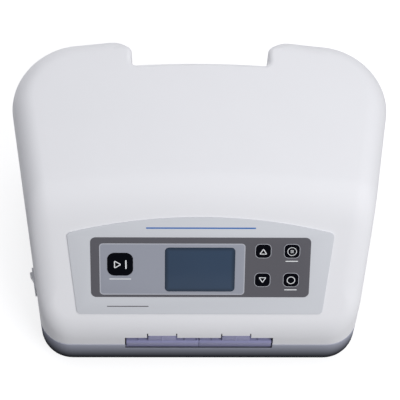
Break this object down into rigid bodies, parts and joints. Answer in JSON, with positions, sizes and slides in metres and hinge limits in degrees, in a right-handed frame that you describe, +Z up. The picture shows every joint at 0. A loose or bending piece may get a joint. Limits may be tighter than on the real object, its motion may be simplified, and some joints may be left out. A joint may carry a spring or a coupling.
{
  "type": "compression therapy pump",
  "caption": "Portable air pump for compression garments, with a sloped keypad and display, plugged hose sockets in front, and a hand notch and mains inlet at the back.",
  "frame": {"origin": "on the surface the pump stands on, under the middle of its bounding box", "axes": "+X to the right seen from the front, along the width; -Y to the front, where the panel is; +Z up"},
  "size_m": [0.3126, 0.2244, 0.1824],
  "materials": {
    "housing_white": "moulded, fine texture",
    "housing_grey": "moulded, fine texture",
    "label": "printed film",
    "fascia": "printed film",
    "inlay": "printed film",
    "window": "smooth display window",
    "display": "display module",
    "keys": "matte",
    "lilac": "moulded, fine texture",
    "nylon": "moulded",
    "black_plastic": "moulded",
    "dark_plastic": "moulded",
    "rubber": "moulded",
    "silicone": "clear tube",
    "steel": "zinc plated",
    "aluminium": "plain",
    "alloy": "as cast",
    "brass": "cut gear",
    "board": "solder mask",
    "sleeve": "shrink sleeve",
    "transformer": "varnished laminations"
  },
  "bodies": {
    "housing": {"top_cover": "housing_white", "base_tray": "housing_grey", "case_screw_front_left": "steel", "case_screw_front_right": "steel", "case_screw_rear_left": "steel", "case_screw_rear_right": "steel", "foot_front_left": "rubber", "foot_front_right": "rubber", "foot_rear_left": "rubber", "foot_rear_right": "rubber", "panel_label": "label", "panel_fascia": "fascia", "panel_inlay": "inlay", "display_window": "window", "panel_carrier": "nylon", "display_module": "display", "keypad_board": "board", "switch_bezel": "dark_plastic", "hose_socket_left": "nylon", "hose_socket_right": "nylon", "mains_inlet": "black_plastic", "fan_frame": "black_plastic", "pump_plate": "steel", "pump_mount_front_left": "rubber", "pump_mount_front_right": "rubber", "pump_mount_rear_left": "rubber", "pump_mount_rear_right": "rubber", "pump_motor": "aluminium", "pump_crankcase": "alloy", "pump_head": "black_plastic", "distributor_body": "nylon", "valve_motor": "dark_plastic", "supply_hose": "silicone", "tube_bundle_left": "silicone", "tube_bundle_right": "silicone", "supply_board": "board", "transformer": "transformer", "supply_capacitor": "sleeve", "heatsink": "aluminium", "control_board": "board", "pressure_sensor": "black_plastic"},
    "distributor_gear": {"distributor_gear": "brass"},
    "down_key": {"down_key": "keys"},
    "drive_pinion": {"drive_pinion": "steel"},
    "fan_rotor": {"fan_rotor": "dark_plastic"},
    "hose_plug_left": {"hose_plug_left": "lilac"},
    "hose_plug_right": {"hose_plug_right": "lilac"},
    "latch_tab_left": {"latch_tab_left": "lilac"},
    "latch_tab_right": {"latch_tab_right": "lilac"},
    "mode_key": {"mode_key": "keys"},
    "pump_crank": {"pump_crank": "steel"},
    "select_key": {"select_key": "keys"},
    "start_stop_key": {"start_stop_key": "keys"},
    "switch_rocker": {"switch_rocker": "black_plastic"},
    "up_key": {"up_key": "keys"}
  },
  "joints": [
    {"name": "start_stop_press", "type": "slide", "parent": "housing", "child": "start_stop_key", "axis": [0, 0.8241, -0.5664], "range_m": [0, 0.0005], "stiffness_N_per_m": 2000},
    {"name": "up_press", "type": "slide", "parent": "housing", "child": "up_key", "axis": [0, 0.8241, -0.5664], "range_m": [0, 0.0005], "stiffness_N_per_m": 2000},
    {"name": "down_press", "type": "slide", "parent": "housing", "child": "down_key", "axis": [0, 0.8241, -0.5664], "range_m": [0, 0.0005], "stiffness_N_per_m": 2000},
    {"name": "mode_press", "type": "slide", "parent": "housing", "child": "mode_key", "axis": [0, 0.8241, -0.5664], "range_m": [0, 0.0005], "stiffness_N_per_m": 2000},
    {"name": "select_press", "type": "slide", "parent": "housing", "child": "select_key", "axis": [0, 0.8241, -0.5664], "range_m": [0, 0.0005], "stiffness_N_per_m": 2000},
    {"name": "mains_rocker_tip", "type": "hinge", "parent": "housing", "child": "switch_rocker", "pos_m": [-0.13529, -0.06911, 0.0775], "axis": [0, 0, -1], "range_deg": [0, 22]},
    {"name": "plug_left_pull", "type": "slide", "parent": "housing", "child": "hose_plug_left", "axis": [0, -1, 0], "range_m": [0, 0.018]},
    {"name": "latch_left_press", "type": "hinge", "parent": "hose_plug_left", "child": "latch_tab_left", "pos_m": [-0.03078, -0.1103, 0.0523], "axis": [-1, 0, 0], "range_deg": [0, 6], "stiffness_Nm_per_rad": 0.05},
    {"name": "plug_right_pull", "type": "slide", "parent": "housing", "child": "hose_plug_right", "axis": [0, -1, 0], "range_m": [0, 0.018]},
    {"name": "latch_right_press", "type": "hinge", "parent": "hose_plug_right", "child": "latch_tab_right", "pos_m": [0.03078, -0.1103, 0.0523], "axis": [-1, 0, 0], "range_deg": [0, 6], "stiffness_Nm_per_rad": 0.05},
    {"name": "pump_crank_spin", "type": "hinge", "parent": "housing", "child": "pump_crank", "pos_m": [-0.068, 0.02564, 0.0484], "axis": [1, 0, 0], "continuous": true},
    {"name": "fan_spin", "type": "hinge", "parent": "housing", "child": "fan_rotor", "pos_m": [0.08721, 0.10095, 0.09], "axis": [0.0271, 0.9996, 0], "continuous": true},
    {"name": "distributor_spin", "type": "hinge", "parent": "housing", "child": "distributor_gear", "pos_m": [0, -0.0144, 0.05425], "axis": [0, 0, 1], "continuous": true},
    {"name": "pinion_spin", "type": "hinge", "parent": "housing", "child": "drive_pinion", "pos_m": [0.039, -0.0144, 0.05425], "axis": [0, 0, 1], "continuous": true}
  ],
  "couplings": [
    {"joint": "pinion_spin", "follows": "distributor_spin", "ratio": -3.3333}
  ]
}
